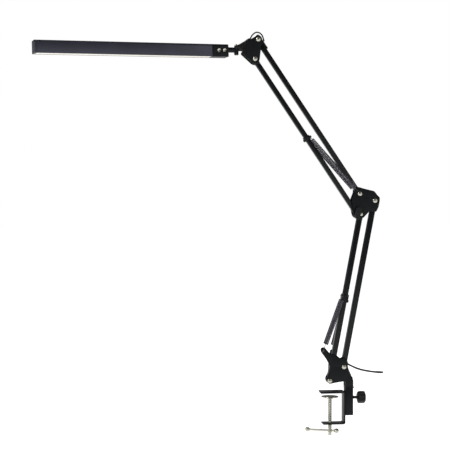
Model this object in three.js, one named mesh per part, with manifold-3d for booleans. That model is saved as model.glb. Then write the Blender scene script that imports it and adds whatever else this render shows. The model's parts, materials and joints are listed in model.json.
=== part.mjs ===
// Architect desk lamp: a sprung two-stage parallelogram arm on a screw clamp, with a slim LED bar on a jointed neck.
// Millimetres, +Z up. The arm works in the XZ plane. The origin is on the clamp screw's axis, on the face
// under the top jaw's pad that rests on the desk. Each mesh is one separate solid.
import * as THREE from "three";
import { mergeVertices } from "three/addons/utils/BufferGeometryUtils.js";
import Module from "manifold-3d";

const wasm = await Module();
wasm.setup();

// ---- Driving dimensions ----
const GAP = 0.3; // running gap between neighbouring pieces
const degrees = Math.PI / 180;

// Clamp
const STRIP_WIDTH = 24;
const STRIP_THICK = 3;
const JAW_TIP_X = -21.5;
const BACK_INNER_X = 27.4;
const PAD_THICK = 1.1;
const LOWER_JAW_TOP_Z = -61.2;
const LOWER_JAW_TIP_X = -16;
const SCREW_RADIUS = 4;
const SCREW_BOTTOM_Z = -88;
const FOOT_TOP_Z = -7;
const FOOT_RADIUS = 18;
const BAR_Z = -78.3; // tommy bar
const BAR_RADIUS = 2.2;
const BAR_TURN = -23 * degrees;
const BAR_LEFT = -47.5;
const BAR_RIGHT = 14;

// Post socket, neck and lock knob
const POST_X = 39.25;
const SOCKET_SIDE = 17;
const SOCKET_TOP_Z = 10;
const SOCKET_BOTTOM_Z = -46;
const POST_RADIUS = 5.5;
const LOCK_Z = -10;
const LOCK_RADIUS = 3;
const KNOB_INNER_X = 58.5;
const KNOB_OUTER_X = 74.7;
const KNOB_RADIUS = 11.8;

// Arm pivots and tubes
const LOWER_RIGHT_PIVOT = [28, 54.5];
const LOWER_SPREAD = 41; // between the two lower pivots
const LOWER_SPREAD_LEAN = 46.5 * degrees;
const LOWER_LENGTH = 351;
const LOWER_LEAN = 10.75 * degrees;
const LOWER_TUBE = 11;
const ELBOW_OFFSET = [-32, 14.3]; // from the lower right tube's top pivot to the upper right tube's
const UPPER_SPREAD = 40.5;
const UPPER_SPREAD_LEAN = 9 * degrees;
const UPPER_LENGTH = 381;
const UPPER_LEAN = -34.1 * degrees;
const UPPER_TUBE = 10;
const TUBE_WALL = 1.2;
const TUBE_START = 13; // tube end to pivot
const BOLT_RADIUS = 2.5;
const RIVET_RADIUS = 5.2;

// Bracket plates: the near and far faces of the front plate, mirrored for the rear plate
const PLATE_INNER_Y = 7;
const PLATE_THICK = 1.5;
const HEAD_PLATE_INNER_Y = 8.6;

// Springs
// Each clip stud is given sideways from its tube's axis and along the tube from its lower pivot.
const LOWER_SPRINGS = {
  y: 16,
  front: { stud: [-8, 177.3], anchor: [-17, 91] },
  rear: { stud: [5.6, 169.7], anchor: [7, 84.5] },
};
const UPPER_SPRINGS = {
  y: 14,
  front: { stud: [4.5, 186], anchor: [54.5, 420] },
  rear: { stud: [4.5, 186], anchor: [54.5, 420] },
};
const SPRING_PIN_RADIUS = 1.8;

// Head joint and lamp head
const HINGE = [-196, 707.3];
const BARREL_LEAN = 30 * degrees; // the barrel's axis above the horizontal
const EYE_BOTTOM = -9.5; // the neck's and the barrel's hinge eyes, measured up from the hinge
const EYE_SPLIT = 0.15;
const EYE_TOP = 8.7;
const HEAD_YAW = 14 * degrees;
const HEAD_DROOP = 1.75 * degrees;
const HEAD_START = 22; // hinge to the inner end of the lamp head
const HEAD_LENGTH = 397;
const HEAD_HEIGHT = 25.4;
const HEAD_WIDTH = 25;
const SWITCH_CAP_LENGTH = 35;
const HEAD_DROP = 2.8; // the bar's centre below the neck's axis
const CABLE_BOSS = 8.4; // from the upper tube's axis to where the cable enters its end piece

// Lead
const CORD_RADIUS = 1.75;
const CORD_SIDES = 8;
const COIL_RADIUS = 21;
const COIL_CENTRE = [25, 66, 42];
const COIL_TURN = -13 * degrees; // the coil's axis, from +X towards -Y

// ---- Finishes ----
const black = (name) => new THREE.MeshStandardMaterial({ name, color: 0x14181b, roughness: 0.42, metalness: 0.2 });
const finishes = {
  blackSteel: black("black_steel"),
  blackTube: black("black_tube"),
  blackPlastic: new THREE.MeshStandardMaterial({ color: 0x101214, roughness: 0.6, metalness: 0 }),
  rubber: new THREE.MeshStandardMaterial({ color: 0x0d0d0d, roughness: 0.9, metalness: 0 }),
  steel: new THREE.MeshStandardMaterial({ color: 0xc8c6bd, roughness: 0.25, metalness: 1 }),
  springSteel: new THREE.MeshStandardMaterial({ color: 0x4a4a55, roughness: 0.35, metalness: 0.9 }),
  anodised: new THREE.MeshStandardMaterial({ color: 0x30363e, roughness: 0.35, metalness: 0.6 }),
  diffuser: new THREE.MeshStandardMaterial({ color: 0xe6e2d4, roughness: 0.5, metalness: 0 }),
  board: new THREE.MeshStandardMaterial({ color: 0xf1f1ec, roughness: 0.6, metalness: 0 }),
};

// ---- Geometry helpers ----
function toSolid(geometry) {
  const bare = geometry.clone();
  bare.deleteAttribute("normal");
  bare.deleteAttribute("uv");
  const merged = mergeVertices(bare, 1e-3);
  const corners = merged.index.array;
  const kept = [];
  for (let i = 0; i < corners.length; i += 3) {
    const [a, b, c] = corners.slice(i, i + 3);
    if (a !== b && b !== c && c !== a) kept.push(a, b, c);
  }
  const vertProperties = new Float32Array(merged.attributes.position.array);
  return new wasm.Manifold(new wasm.Mesh({ numProp: 3, vertProperties, triVerts: new Uint32Array(kept) }));
}

function toGeometry(solid) {
  const mesh = solid.getMesh();
  const geometry = new THREE.BufferGeometry();
  geometry.setAttribute("position", new THREE.BufferAttribute(new Float32Array(mesh.vertProperties), 3));
  geometry.setIndex(new THREE.BufferAttribute(new Uint32Array(mesh.triVerts), 1));
  return geometry;
}

function join(...geometries) {
  return toGeometry(geometries.map(toSolid).reduce((whole, next) => whole.add(next)));
}

function cut(geometry, ...tools) {
  return toGeometry(tools.map(toSolid).reduce((whole, next) => whole.subtract(next), toSolid(geometry)));
}

// A closed outline of [x, z, rounding] corners.
function outline(corners) {
  const shape = new THREE.Shape();
  corners.forEach(([x, z, radius], i) => {
    const corner = new THREE.Vector2(x, z);
    const before = new THREE.Vector2(...corners.at(i - 1)).sub(corner);
    const after = new THREE.Vector2(...corners[(i + 1) % corners.length]).sub(corner);
    const start = corner.clone().add(before.setLength(Math.min(radius, before.length() * 0.48)));
    const end = corner.clone().add(after.setLength(Math.min(radius, after.length() * 0.48)));
    if (i === 0) shape.moveTo(start.x, start.y);
    else shape.lineTo(start.x, start.y);
    shape.quadraticCurveTo(x, z, end.x, end.y);
  });
  return shape;
}

// A shape drawn in XZ, as a slab from yNear to yFar.
function slab(shape, yNear, yFar, curveSegments = 4) {
  const geometry = new THREE.ExtrudeGeometry(shape, { depth: yFar - yNear, bevelEnabled: false, curveSegments });
  return geometry.rotateX(Math.PI / 2).translate(0, yFar, 0);
}

// A turned solid about +Z, from [radius, z] points that start and end on the axis.
function turned(profile, sides = 16) {
  const points = profile.map(([radius, z]) => new THREE.Vector2(radius, z));
  return new THREE.LatheGeometry(points, sides).rotateX(Math.PI / 2);
}

function rod(radius, z0, z1, sides = 16) {
  return turned([[0, z0], [radius, z0], [radius, z1], [0, z1]], sides);
}

// The same rod lying along +Y.
function crossRod(radius, y0, y1, x = 0, z = 0, sides = 16) {
  return rod(radius, y0, y1, sides).rotateX(-Math.PI / 2).translate(x, 0, z);
}

function box(x0, x1, y0, y1, z0, z1) {
  const geometry = new THREE.BoxGeometry(x1 - x0, y1 - y0, z1 - z0);
  return geometry.translate((x0 + x1) / 2, (y0 + y1) / 2, (z0 + z1) / 2);
}

function squareShape(side, rounding) {
  const h = side / 2;
  return outline([[-h, -h, rounding], [h, -h, rounding], [h, h, rounding], [-h, h, rounding]]);
}

function tubeAlong(points, radius, sides, steps) {
  const section = new THREE.Shape(
    Array.from({ length: sides }, (_, i) => {
      const angle = (i / sides) * 2 * Math.PI;
      return new THREE.Vector2(radius * Math.cos(angle), radius * Math.sin(angle));
    }),
  );
  const extrudePath = new THREE.CatmullRomCurve3(points.map((p) => new THREE.Vector3(...p)), false, "centripetal");
  return new THREE.ExtrudeGeometry(section, { extrudePath, steps, bevelEnabled: false });
}

const lean = (from, length, angle) => [from[0] + length * Math.sin(angle), from[1] + length * Math.cos(angle)];

// ---- Scene helpers ----
const lamp = new THREE.Group();

function piece(name, geometry, material, parent = lamp) {
  const mesh = new THREE.Mesh(geometry, material);
  mesh.name = name;
  parent.add(mesh);
  return mesh;
}

// A group standing on a pivot in the arm's plane, with its +Z leaning towards +X by angle.
function leaningGroup([x, z], angle) {
  const group = new THREE.Group();
  group.position.set(x, 0, z);
  group.rotation.y = angle;
  lamp.add(group);
  return group;
}

// ---- Pivot places ----
const lowerRightFoot = LOWER_RIGHT_PIVOT;
const lowerLeftFoot = lean(lowerRightFoot, -LOWER_SPREAD, LOWER_SPREAD_LEAN);
const lowerRightTop = lean(lowerRightFoot, LOWER_LENGTH, LOWER_LEAN);
const lowerLeftTop = lean(lowerLeftFoot, LOWER_LENGTH, LOWER_LEAN);
const upperRightFoot = [lowerRightTop[0] + ELBOW_OFFSET[0], lowerRightTop[1] + ELBOW_OFFSET[1]];
const upperLeftFoot = lean(upperRightFoot, -UPPER_SPREAD, UPPER_SPREAD_LEAN);
const upperRightTop = lean(upperRightFoot, UPPER_LENGTH, UPPER_LEAN);
const upperLeftTop = lean(upperLeftFoot, UPPER_LENGTH, UPPER_LEAN);

// ---- Desk clamp ----
function makeClamp() {
  const half = STRIP_WIDTH / 2;
  const jawUnder = PAD_THICK + GAP;
  const jawTop = jawUnder + STRIP_THICK;
  const backOuter = BACK_INNER_X + STRIP_THICK;
  const strip = outline([
    [JAW_TIP_X, jawUnder, 0.6], [JAW_TIP_X, jawTop, 0.6], [backOuter, jawTop, 4],
    [backOuter, LOWER_JAW_TOP_Z - STRIP_THICK, 4.5], [LOWER_JAW_TIP_X, LOWER_JAW_TOP_Z - STRIP_THICK, 0.6],
    [LOWER_JAW_TIP_X, LOWER_JAW_TOP_Z, 0.6], [BACK_INNER_X, LOWER_JAW_TOP_Z, 1.8], [BACK_INNER_X, jawUnder, 1.8],
  ]);
  const tapped = rod(SCREW_RADIUS + GAP, LOWER_JAW_TOP_Z - 10, LOWER_JAW_TOP_Z + 10, 20);
  piece("clamp_frame", cut(slab(strip, -half, half), tapped), finishes.blackSteel);
  piece("jaw_pad", box(JAW_TIP_X + 1, BACK_INNER_X - 3, -half + 1, half - 1, 0, PAD_THICK), finishes.rubber);

  const side = SOCKET_SIDE / 2;
  const shell = new THREE.ExtrudeGeometry(squareShape(SOCKET_SIDE, 1.5), {
    depth: SOCKET_TOP_Z - SOCKET_BOTTOM_Z, bevelEnabled: false, curveSegments: 3,
  }).translate(POST_X, 0, SOCKET_BOTTOM_Z);
  const bore = rod(POST_RADIUS + GAP, SOCKET_BOTTOM_Z - 5, SOCKET_TOP_Z + 5, 24).translate(POST_X, 0, 0);
  const lockHole = rod(LOCK_RADIUS + GAP, 0, side + 5).rotateY(Math.PI / 2).translate(POST_X, 0, LOCK_Z);
  piece("post_socket", cut(shell, bore, lockHole), finishes.blackSteel);

  const studStart = POST_X + POST_RADIUS + GAP;
  const stud = rod(LOCK_RADIUS, studStart, KNOB_INNER_X + 7);
  const lobes = 6;
  const points = 48;
  const knobShape = new THREE.Shape(
    Array.from({ length: points }, (_, i) => {
      const angle = (i / points) * 2 * Math.PI;
      const radius = KNOB_RADIUS + 0.9 * Math.cos(lobes * angle);
      return new THREE.Vector2(radius * Math.cos(angle), radius * Math.sin(angle));
    }),
  );
  const bevel = 2;
  const knobBody = new THREE.ExtrudeGeometry(knobShape, {
    depth: KNOB_OUTER_X - KNOB_INNER_X - 2 * bevel, bevelSize: bevel, bevelThickness: bevel,
    bevelOffset: -bevel, bevelSegments: 1,
  }).translate(0, 0, KNOB_INNER_X + bevel);
  piece("lock_knob", join(knobBody, stud).rotateY(Math.PI / 2).translate(0, 0, LOCK_Z), finishes.blackPlastic);

  const foot = turned([
    [0, FOOT_TOP_Z - 3.2], [4.6, FOOT_TOP_Z - 3.2], [4.6, FOOT_TOP_Z - 5.6], [7, FOOT_TOP_Z - 5.6],
    [10.5, FOOT_TOP_Z - 2.2], [FOOT_RADIUS - 0.4, FOOT_TOP_Z - 1.5], [FOOT_RADIUS, FOOT_TOP_Z - 0.7],
    [FOOT_RADIUS - 0.5, FOOT_TOP_Z], [0, FOOT_TOP_Z],
  ], 32);
  piece("swivel_foot", foot, finishes.steel);
  const screwTop = FOOT_TOP_Z - 3.2 - GAP;
  const screw = turned([
    [0, SCREW_BOTTOM_Z], [3.2, SCREW_BOTTOM_Z], [SCREW_RADIUS, SCREW_BOTTOM_Z + 0.8], [SCREW_RADIUS, screwTop - 1],
    [3, screwTop], [0, screwTop],
  ], 20);
  const barHole = rod(BAR_RADIUS + GAP, -10, 10, 12).rotateY(Math.PI / 2).translate(0, 0, BAR_Z);
  piece("clamp_screw", cut(screw, barHole), finishes.steel).rotation.z = BAR_TURN;
  const ball = 5;
  const bar = join(
    rod(BAR_RADIUS, BAR_LEFT, BAR_RIGHT, 12).rotateY(Math.PI / 2),
    new THREE.SphereGeometry(ball, 16, 10).translate(BAR_LEFT, 0, 0),
    new THREE.SphereGeometry(ball, 16, 10).translate(BAR_RIGHT, 0, 0),
  );
  piece("tommy_bar", bar.translate(0, 0, BAR_Z), finishes.steel).rotation.z = BAR_TURN;
}

// ---- Bolts and plates ----
// A pivot bolt along Y: a domed head in front, a shank through both plates, and a nut behind.
// A head radius of 0 leaves the shank long in front, for a knob to thread onto.
function makeBolt(name, [x, z], plateInner, headRadius = RIVET_RADIUS) {
  const face = plateInner + PLATE_THICK + GAP;
  const head = headRadius === 0
    ? [[0, -face - 9], [BOLT_RADIUS, -face - 9]]
    : [
      [0, -face - 2.6], [headRadius * 0.5, -face - 2.2], [headRadius * 0.85, -face - 1.1],
      [headRadius, -face], [BOLT_RADIUS, -face],
    ];
  const nut = [[BOLT_RADIUS, face], [4.1, face], [4.1, face + 3], [2, face + 3.4], [0, face + 3.4]];
  piece(name, turned([...head, ...nut], 14).rotateX(-Math.PI / 2).translate(x, 0, z), finishes.steel);
}

// A pair of plates with the arm between them, each with its spring's stud riveted to its outer face.
function makePlates(name, corners, inner, holes, springs, rearCorners = corners) {
  const outer = inner + PLATE_THICK;
  const tools = holes.map(([x, z]) => crossRod(BOLT_RADIUS + GAP, -outer - 5, outer + 5, x, z));
  const frontShape = outline(corners);
  const rearShape = outline(rearCorners);
  const frontStuds = springs ? [springStud(springs.front.anchor, -1, inner, springs.y)] : [];
  const rearStuds = springs ? [springStud(springs.rear.anchor, 1, inner, springs.y)] : [];
  piece(`${name}_plate_front`, cut(join(slab(frontShape, -outer, -inner), ...frontStuds), ...tools), finishes.blackSteel);
  piece(`${name}_plate_rear`, cut(join(slab(rearShape, inner, outer), ...rearStuds), ...tools), finishes.blackSteel);
}

// The flanged stud that a spring hooks on, from inner out to the rear (side 1) or to the front (side -1).
function springStud([x, z], side, inner, springY) {
  const end = springY + 3.2;
  const profile = [
    [0, inner], [SPRING_PIN_RADIUS, inner], [SPRING_PIN_RADIUS, end - 1.2], [2.8, end - 1.2], [2.8, end], [0, end],
  ];
  return turned(profile, 12).rotateX((-side * Math.PI) / 2).translate(x, 0, z);
}

// ---- Base bracket ----
function makeBase() {
  const neckHalf = 8.6;
  const [right, left] = [lowerRightFoot, lowerLeftFoot];
  const foot = [
    [-2, 57, 5], [-2.6, 42, 5], [left[0] - 8, left[1] + 3, 6], [left[0] - 2.5, left[1] - 7, 5], [10, 22, 3],
    [POST_X - neckHalf, 25, 1.5], [POST_X - neckHalf, 13.5, 0.5],
  ];
  const shoulder = [
    [POST_X + neckHalf, 13.5, 0.5], [POST_X + neckHalf, 27, 4], [43.5, 37, 3], [39, 47, 2], [36.2, 54, 3],
    [36.4, 66, 3], [27.5, 73.5, 2], [22, 70.5, 1.5],
  ];
  const [hookX, hookZ] = LOWER_SPRINGS.front.anchor;
  const longArm = [
    [12, 77, 2], [-3, 84, 4], [hookX + 3, hookZ + 6, 4], [hookX - 5, hookZ + 3, 4], [hookX - 3.5, hookZ - 5, 3],
    [-9.5, 71.5, 4],
  ];
  const [earX, earZ] = LOWER_SPRINGS.rear.anchor;
  const shortEar = [[earX + 6, earZ - 4, 3], [earX + 4.5, earZ + 5, 4], [earX - 4.5, earZ + 5, 4], [earX - 7, earZ - 9, 4]];
  makePlates("base", [...shoulder, ...longArm, ...foot], PLATE_INNER_Y, [right, left], LOWER_SPRINGS, [
    ...shoulder, ...shortEar, ...foot,
  ]);
  makeBolt("base_bolt_right", right, PLATE_INNER_Y);
  makeBolt("base_bolt_left", left, PLATE_INNER_Y);

  const inner = PLATE_INNER_Y - GAP;
  const neck = join(
    box(POST_X - neckHalf + 1, POST_X + neckHalf - 1, -inner, inner, 12, 33),
    box(POST_X - neckHalf, POST_X + neckHalf, -8.5, 8.5, SOCKET_TOP_Z + GAP, 13.2),
    rod(POST_RADIUS, -40, 12.5, 24).translate(POST_X, 0, 0),
    new THREE.SphereGeometry(1.5, 10, 6).translate(POST_X + neckHalf + 0.9, -5, 11.6),
  );
  piece("base_neck", neck, finishes.blackSteel);
}

// ---- Arm tubes ----
// The end piece that a tube pivots on: an eye from yNear to yFar, a block as wide as the tube, and a plug inside it.
function tubeEnd(width, [yNear, yFar], extras = []) {
  const half = width / 2;
  const eyeRadius = 5;
  const eyeShape = new THREE.Shape();
  eyeShape.moveTo(eyeRadius, 8);
  eyeShape.lineTo(eyeRadius, 0);
  eyeShape.absarc(0, 0, eyeRadius, 0, Math.PI, true);
  eyeShape.lineTo(-eyeRadius, 8);
  const blockNear = Math.max(yNear, -half);
  const blockFar = Math.min(yFar, half);
  const plug = half - TUBE_WALL - GAP;
  const whole = join(
    slab(eyeShape, blockNear, blockFar, 8),
    crossRod(4.5, yNear, yFar),
    box(-half, half, -half, half, 7.5, TUBE_START - GAP),
    box(-plug, plug, -plug, plug, 8, TUBE_START + 12),
    ...extras,
  );
  return cut(whole, crossRod(BOLT_RADIUS + GAP, -20, 20));
}

function makeTube(name, group, width, length, footLayer, topLayer, topExtras) {
  const section = squareShape(width, 1.4);
  section.holes.push(squareShape(width - 2 * TUBE_WALL, 0.6));
  const depth = length - 2 * TUBE_START;
  const tube = new THREE.ExtrudeGeometry(section, { depth, bevelEnabled: false, curveSegments: 3 });
  piece(`${name}_tube`, tube.translate(0, 0, TUBE_START), finishes.blackTube, group);
  piece(`${name}_foot_end`, tubeEnd(width, footLayer), finishes.blackPlastic, group);
  const [topNear, topFar] = topLayer;
  const top = piece(`${name}_top_end`, tubeEnd(width, [-topFar, -topNear], topExtras), finishes.blackPlastic, group);
  top.rotation.x = Math.PI;
  top.position.z = length;
}

// A thin saddle around a tube, with the springs' two studs on its faces and a clamp screw's head on one side.
function makeClip(name, group, width, springs, screwSide) {
  const inner = width / 2 + GAP;
  const outer = inner + 1.2;
  const heights = [springs.front.stud[1], springs.rear.stud[1]];
  const [low, high] = [Math.min(...heights) - 4.5, Math.max(...heights) + 4.5];
  const whole = join(
    box(-outer, outer, -outer, outer, low, high),
    springStud(springs.front.stud, -1, 0, springs.y),
    springStud(springs.rear.stud, 1, 0, springs.y),
    rod(2.6, 0, outer + 2.4, 12).rotateY((screwSide * Math.PI) / 2).translate(0, 0, low + 3),
  );
  piece(name, cut(whole, box(-inner, inner, -inner, inner, low - 9, high + 9)), finishes.blackSteel, group);
}

// A spring as the solid that its coil fills, with a wire eye on each pin.
function makeSpring(name, from, to, y, coilRadius, coilStart, coilEnd) {
  const length = Math.hypot(to[0] - from[0], to[1] - from[1]);
  const wire = 0.8;
  const eyeRadius = SPRING_PIN_RADIUS + GAP + wire;
  const eye = () => new THREE.TorusGeometry(eyeRadius, wire, 6, 14).rotateX(Math.PI / 2);
  const solid = join(
    rod(coilRadius, coilStart, length - coilEnd, 12),
    rod(wire, eyeRadius, coilStart + 1, 8),
    rod(wire, length - coilEnd - 1, length - eyeRadius, 8),
    eye(),
    eye().translate(0, 0, length),
  );
  const mesh = piece(name, solid, finishes.springSteel);
  mesh.position.set(from[0], y, from[1]);
  mesh.rotation.y = Math.atan2(to[0] - from[0], to[1] - from[1]);
}

function makeArms() {
  const between = PLATE_INNER_Y - GAP;
  const full = [-between, between];
  const front = [-between, -0.4];
  const rear = [0.4, between];
  const headFull = [-HEAD_PLATE_INNER_Y + GAP, HEAD_PLATE_INNER_Y - GAP];
  const cableBoss = [
    box(0, CABLE_BOSS, -2.5, 2.5, 3, TUBE_START - GAP),
    box(UPPER_TUBE / 2 + GAP, CABLE_BOSS, -2.5, 2.5, 3, 2 * TUBE_START),
  ];
  const lowerRight = leaningGroup(lowerRightFoot, LOWER_LEAN);
  const lowerLeft = leaningGroup(lowerLeftFoot, LOWER_LEAN);
  const upperRight = leaningGroup(upperRightFoot, UPPER_LEAN);
  const upperLeft = leaningGroup(upperLeftFoot, UPPER_LEAN);
  makeTube("lower_right", lowerRight, LOWER_TUBE, LOWER_LENGTH, full, full);
  makeTube("lower_left", lowerLeft, LOWER_TUBE, LOWER_LENGTH, full, front);
  makeTube("upper_right", upperRight, UPPER_TUBE, UPPER_LENGTH, full, headFull, cableBoss);
  makeTube("upper_left", upperLeft, UPPER_TUBE, UPPER_LENGTH, rear, headFull);
  makeClip("lower_spring_clip", lowerLeft, LOWER_TUBE, LOWER_SPRINGS, 1);
  makeClip("upper_spring_clip", upperLeft, UPPER_TUBE, UPPER_SPRINGS, -1);

  const studPlace = (foot, [side, along], angle) => [
    foot[0] + along * Math.sin(angle) + side * Math.cos(angle),
    foot[1] + along * Math.cos(angle) - side * Math.sin(angle),
  ];
  for (const [side, sign] of [["front", -1], ["rear", 1]]) {
    const lower = LOWER_SPRINGS[side];
    const upper = UPPER_SPRINGS[side];
    const lowerStud = studPlace(lowerLeftFoot, lower.stud, LOWER_LEAN);
    const upperStud = studPlace(upperLeftFoot, upper.stud, UPPER_LEAN);
    makeSpring(`lower_spring_${side}`, lower.anchor, lowerStud, sign * LOWER_SPRINGS.y, 5.6, 13, 8);
    makeSpring(`upper_spring_${side}`, upper.anchor, upperStud, sign * UPPER_SPRINGS.y, 3.9, 7, 7);
  }
}

// ---- Elbow ----
function makeElbow() {
  const pivots = [lowerRightTop, lowerLeftTop, upperRightFoot, upperLeftFoot];
  makePlates("elbow", [
    [49.5, 415, 3], [51, 422, 3], [56, 428, 4], [62, 426.6, 4], [70, 424.2, 4], [92.5, 418.8, 3],
    [98, 411, 2], [103.6, 406, 2],
    [103.4, 398, 4], [100.6, 385, 3], [96, 376, 3], [81, 376.5, 2], [67.5, 362, 6], [57, 361.5, 5], [49, 366, 6],
    [46, 376, 6], [46, 390, 4], [44.4, 402, 3],
  ], PLATE_INNER_Y, pivots, UPPER_SPRINGS);
  makeBolt("elbow_bolt_lower_right", lowerRightTop, PLATE_INNER_Y);
  makeBolt("elbow_bolt_lower_left", lowerLeftTop, PLATE_INNER_Y, 4.2);
  makeBolt("elbow_bolt_upper_right", upperRightFoot, PLATE_INNER_Y);
  makeBolt("elbow_bolt_upper_left", upperLeftFoot, PLATE_INNER_Y, 0);

  const back = -(PLATE_INNER_Y + PLATE_THICK + 2 * GAP);
  const wing = new THREE.Shape();
  wing.absarc(0, 7.5, 5, 0, Math.PI, false);
  wing.absarc(0, -7.5, 5, Math.PI, 2 * Math.PI, false);
  const knob = cut(
    join(slab(wing, back - 14, back - 4, 6), crossRod(3.9, back - 11, back)),
    crossRod(BOLT_RADIUS + GAP, -PLATE_INNER_Y - PLATE_THICK - 9 - 2 * GAP, 0),
  );
  const mesh = piece("elbow_knob", knob, finishes.blackPlastic);
  mesh.position.set(upperLeftFoot[0], 0, upperLeftFoot[1]);
  mesh.rotation.y = 14 * degrees;
}

// ---- Head bracket and head joint ----
function makeHeadBracket() {
  const [right, left] = [upperRightTop, upperLeftTop];
  makePlates("head", [
    [-168.5, 728.5, 3], [-158, 734.5, 3], [right[0] - 1, right[1] + 11, 6], [right[0] + 9, right[1] + 3, 6],
    [-145.6, 716, 4], [-147.2, 704, 3], [left[0] + 9.4, left[1] - 2, 6], [left[0] + 6, left[1] - 10.5, 5],
    [left[0] - 3, left[1] - 11, 5], [-186.5, 700.5, 3],
  ], HEAD_PLATE_INNER_Y, [right, left]);
  makeBolt("head_bolt_upper", right, HEAD_PLATE_INNER_Y);
  makeBolt("head_bolt_lower", left, HEAD_PLATE_INNER_Y);

  // The head joint is drawn along +Z from the hinge and then leaned over to lie along the barrel's axis.
  const joint = leaningGroup(HINGE, Math.PI / 2 - BARREL_LEAN);
  const blockHalf = HEAD_PLATE_INNER_Y - GAP;
  const block = cut(box(-8, 8, -blockHalf, blockHalf, 26.3, 34.5), rod(4 + GAP, 20, 60));
  piece("swivel_block", block, finishes.blackSteel, joint);
  const ribs = 6;
  const ribPitch = 2.9;
  const ribProfile = [[0, 4], [5, 4], [7.4, 8]];
  for (let i = 0; i < ribs; i += 1) {
    const z = 8 + i * ribPitch;
    ribProfile.push([8, z + 0.6], [8, z + 1.7], [7.2, z + 2.1], [7.2, z + ribPitch]);
  }
  ribProfile.push([8, 26], [4, 26], [4, 34], [0, 34]);
  const upright = BARREL_LEAN - Math.PI / 2; // turns a piece drawn upright to stand upright in the leaning group
  const eye = rod(4.6, EYE_SPLIT, EYE_TOP).rotateY(upright);
  const clear = rod(5.2, -30, EYE_SPLIT).rotateY(upright);
  const headRoom = rod(4, EYE_TOP, 30).rotateY(upright);
  const pinHole = rod(2 + GAP, -30, 30, 12).rotateY(upright);
  const barrel = cut(join(turned(ribProfile, 20), eye), clear, headRoom, pinHole);
  piece("swivel_barrel", barrel, finishes.blackPlastic, joint);

  const hingeScrew = turned([
    [0, EYE_BOTTOM - 1.4], [3.4, EYE_BOTTOM - 1.4], [3.4, EYE_BOTTOM - GAP], [2, EYE_BOTTOM - GAP],
    [2, EYE_TOP + GAP], [3.6, EYE_TOP + GAP], [3.3, EYE_TOP + 2.4], [1.8, EYE_TOP + 3.6], [0, EYE_TOP + 4],
  ], 14).translate(HINGE[0], 0, HINGE[1]);
  piece("hinge_screw", hingeScrew, finishes.steel);
}

function makeHead() {
  // +X of this group runs out along the lamp head, and the hinge is at its origin.
  const head = new THREE.Group();
  head.position.set(HINGE[0], 0, HINGE[1]);
  head.rotation.set(0, HEAD_DROOP, Math.PI + HEAD_YAW, "ZYX");
  lamp.add(head);

  const neck = cut(
    join(
      rod(4.6, EYE_BOTTOM, 0).rotateY(-HEAD_DROOP),
      rod(4, 2, HEAD_START + 6).rotateY(Math.PI / 2),
      rod(5.5, 5.6, HEAD_START - GAP, 20).rotateY(Math.PI / 2),
    ),
    rod(2 + GAP, -30, 30, 12).rotateY(-HEAD_DROOP),
    box(-6, 5.3, -10, 10, EYE_SPLIT - GAP, 12).rotateY(-HEAD_DROOP),
  );
  piece("neck_stud", neck, finishes.blackSteel, head);

  const top = HEAD_HEIGHT / 2 - HEAD_DROP;
  const bottom = -HEAD_HEIGHT / 2 - HEAD_DROP;
  const half = HEAD_WIDTH / 2;
  const bevel = 3.2;
  const wall = 1.6;
  // A section is drawn with x across the head and y up, and turned to run along +X.
  const runAlong = (corners, from, to) => {
    const depth = to - from;
    const geometry = new THREE.ExtrudeGeometry(outline(corners), { depth, bevelEnabled: false, curveSegments: 2 });
    return geometry.rotateZ(Math.PI / 2).rotateY(Math.PI / 2).translate(from, 0, 0);
  };
  const outer = [
    [-half, bottom, 0.6], [half, bottom, 0.6], [half, top - bevel, 0.8], [half - bevel + 1, top, 0.8],
    [-half + bevel - 1, top, 0.8], [-half, top - bevel, 0.8],
  ];
  const floor = top - 7; // the underside of the closed top, where the light board sits
  const channel = [
    [-half, bottom, 0.4], [-half + wall, bottom, 0.4], [-half + wall, floor, 0.4], [half - wall, floor, 0.4],
    [half - wall, bottom, 0.4], [half, bottom, 0.4], [half, top - bevel, 0.8], [half - bevel + 1, top, 0.8],
    [-half + bevel - 1, top, 0.8], [-half, top - bevel, 0.8],
  ];
  const inEnd = HEAD_START;
  const capEnd = HEAD_START + SWITCH_CAP_LENGTH;
  const outEnd = HEAD_START + HEAD_LENGTH;
  const housingEnd = outEnd - 5;
  const buttons = [["power_button", 8.5], ["colour_button", 20.6]];
  const buttonRadius = 3.7;
  const buttonZ = 0.5 - HEAD_DROP;
  const wells = buttons.map(([, x]) => crossRod(buttonRadius + GAP, half - 8.4, half + 5, inEnd + x, buttonZ));
  const capBody = cut(
    runAlong(outer, inEnd, capEnd - GAP),
    rod(4 + GAP, inEnd - 5, inEnd + 6 + GAP).rotateY(Math.PI / 2),
    ...wells,
  );
  piece("switch_cap", capBody, finishes.blackPlastic, head);
  piece("head_housing", runAlong(channel, capEnd, housingEnd), finishes.anodised, head);
  piece("outer_end_cap", runAlong(outer, housingEnd + GAP, outEnd), finishes.blackPlastic, head);

  const clearHalf = half - wall - GAP;
  const board = box(capEnd + 2, housingEnd - 2, -clearHalf + 1, clearHalf - 1, floor - GAP - 1.6, floor - GAP);
  piece("led_board", board, finishes.board, head);
  const lens = [
    [-clearHalf, bottom + 0.4, 0.4], [clearHalf, bottom + 0.4, 0.4], [clearHalf, bottom + 2.4, 0.3],
    [-clearHalf, bottom + 2.4, 0.3],
  ];
  piece("diffuser", runAlong(lens, capEnd + GAP, housingEnd - GAP), finishes.diffuser, head);
  buttons.forEach(([name, x]) => {
    const button = turned([[0, 0], [buttonRadius, 0], [buttonRadius, 7.6], [buttonRadius - 0.7, 8.4], [0, 8.6]], 16);
    piece(name, button.rotateX(-Math.PI / 2).translate(inEnd + x, half - 7, buttonZ), finishes.steel, head);
  });
}

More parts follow.
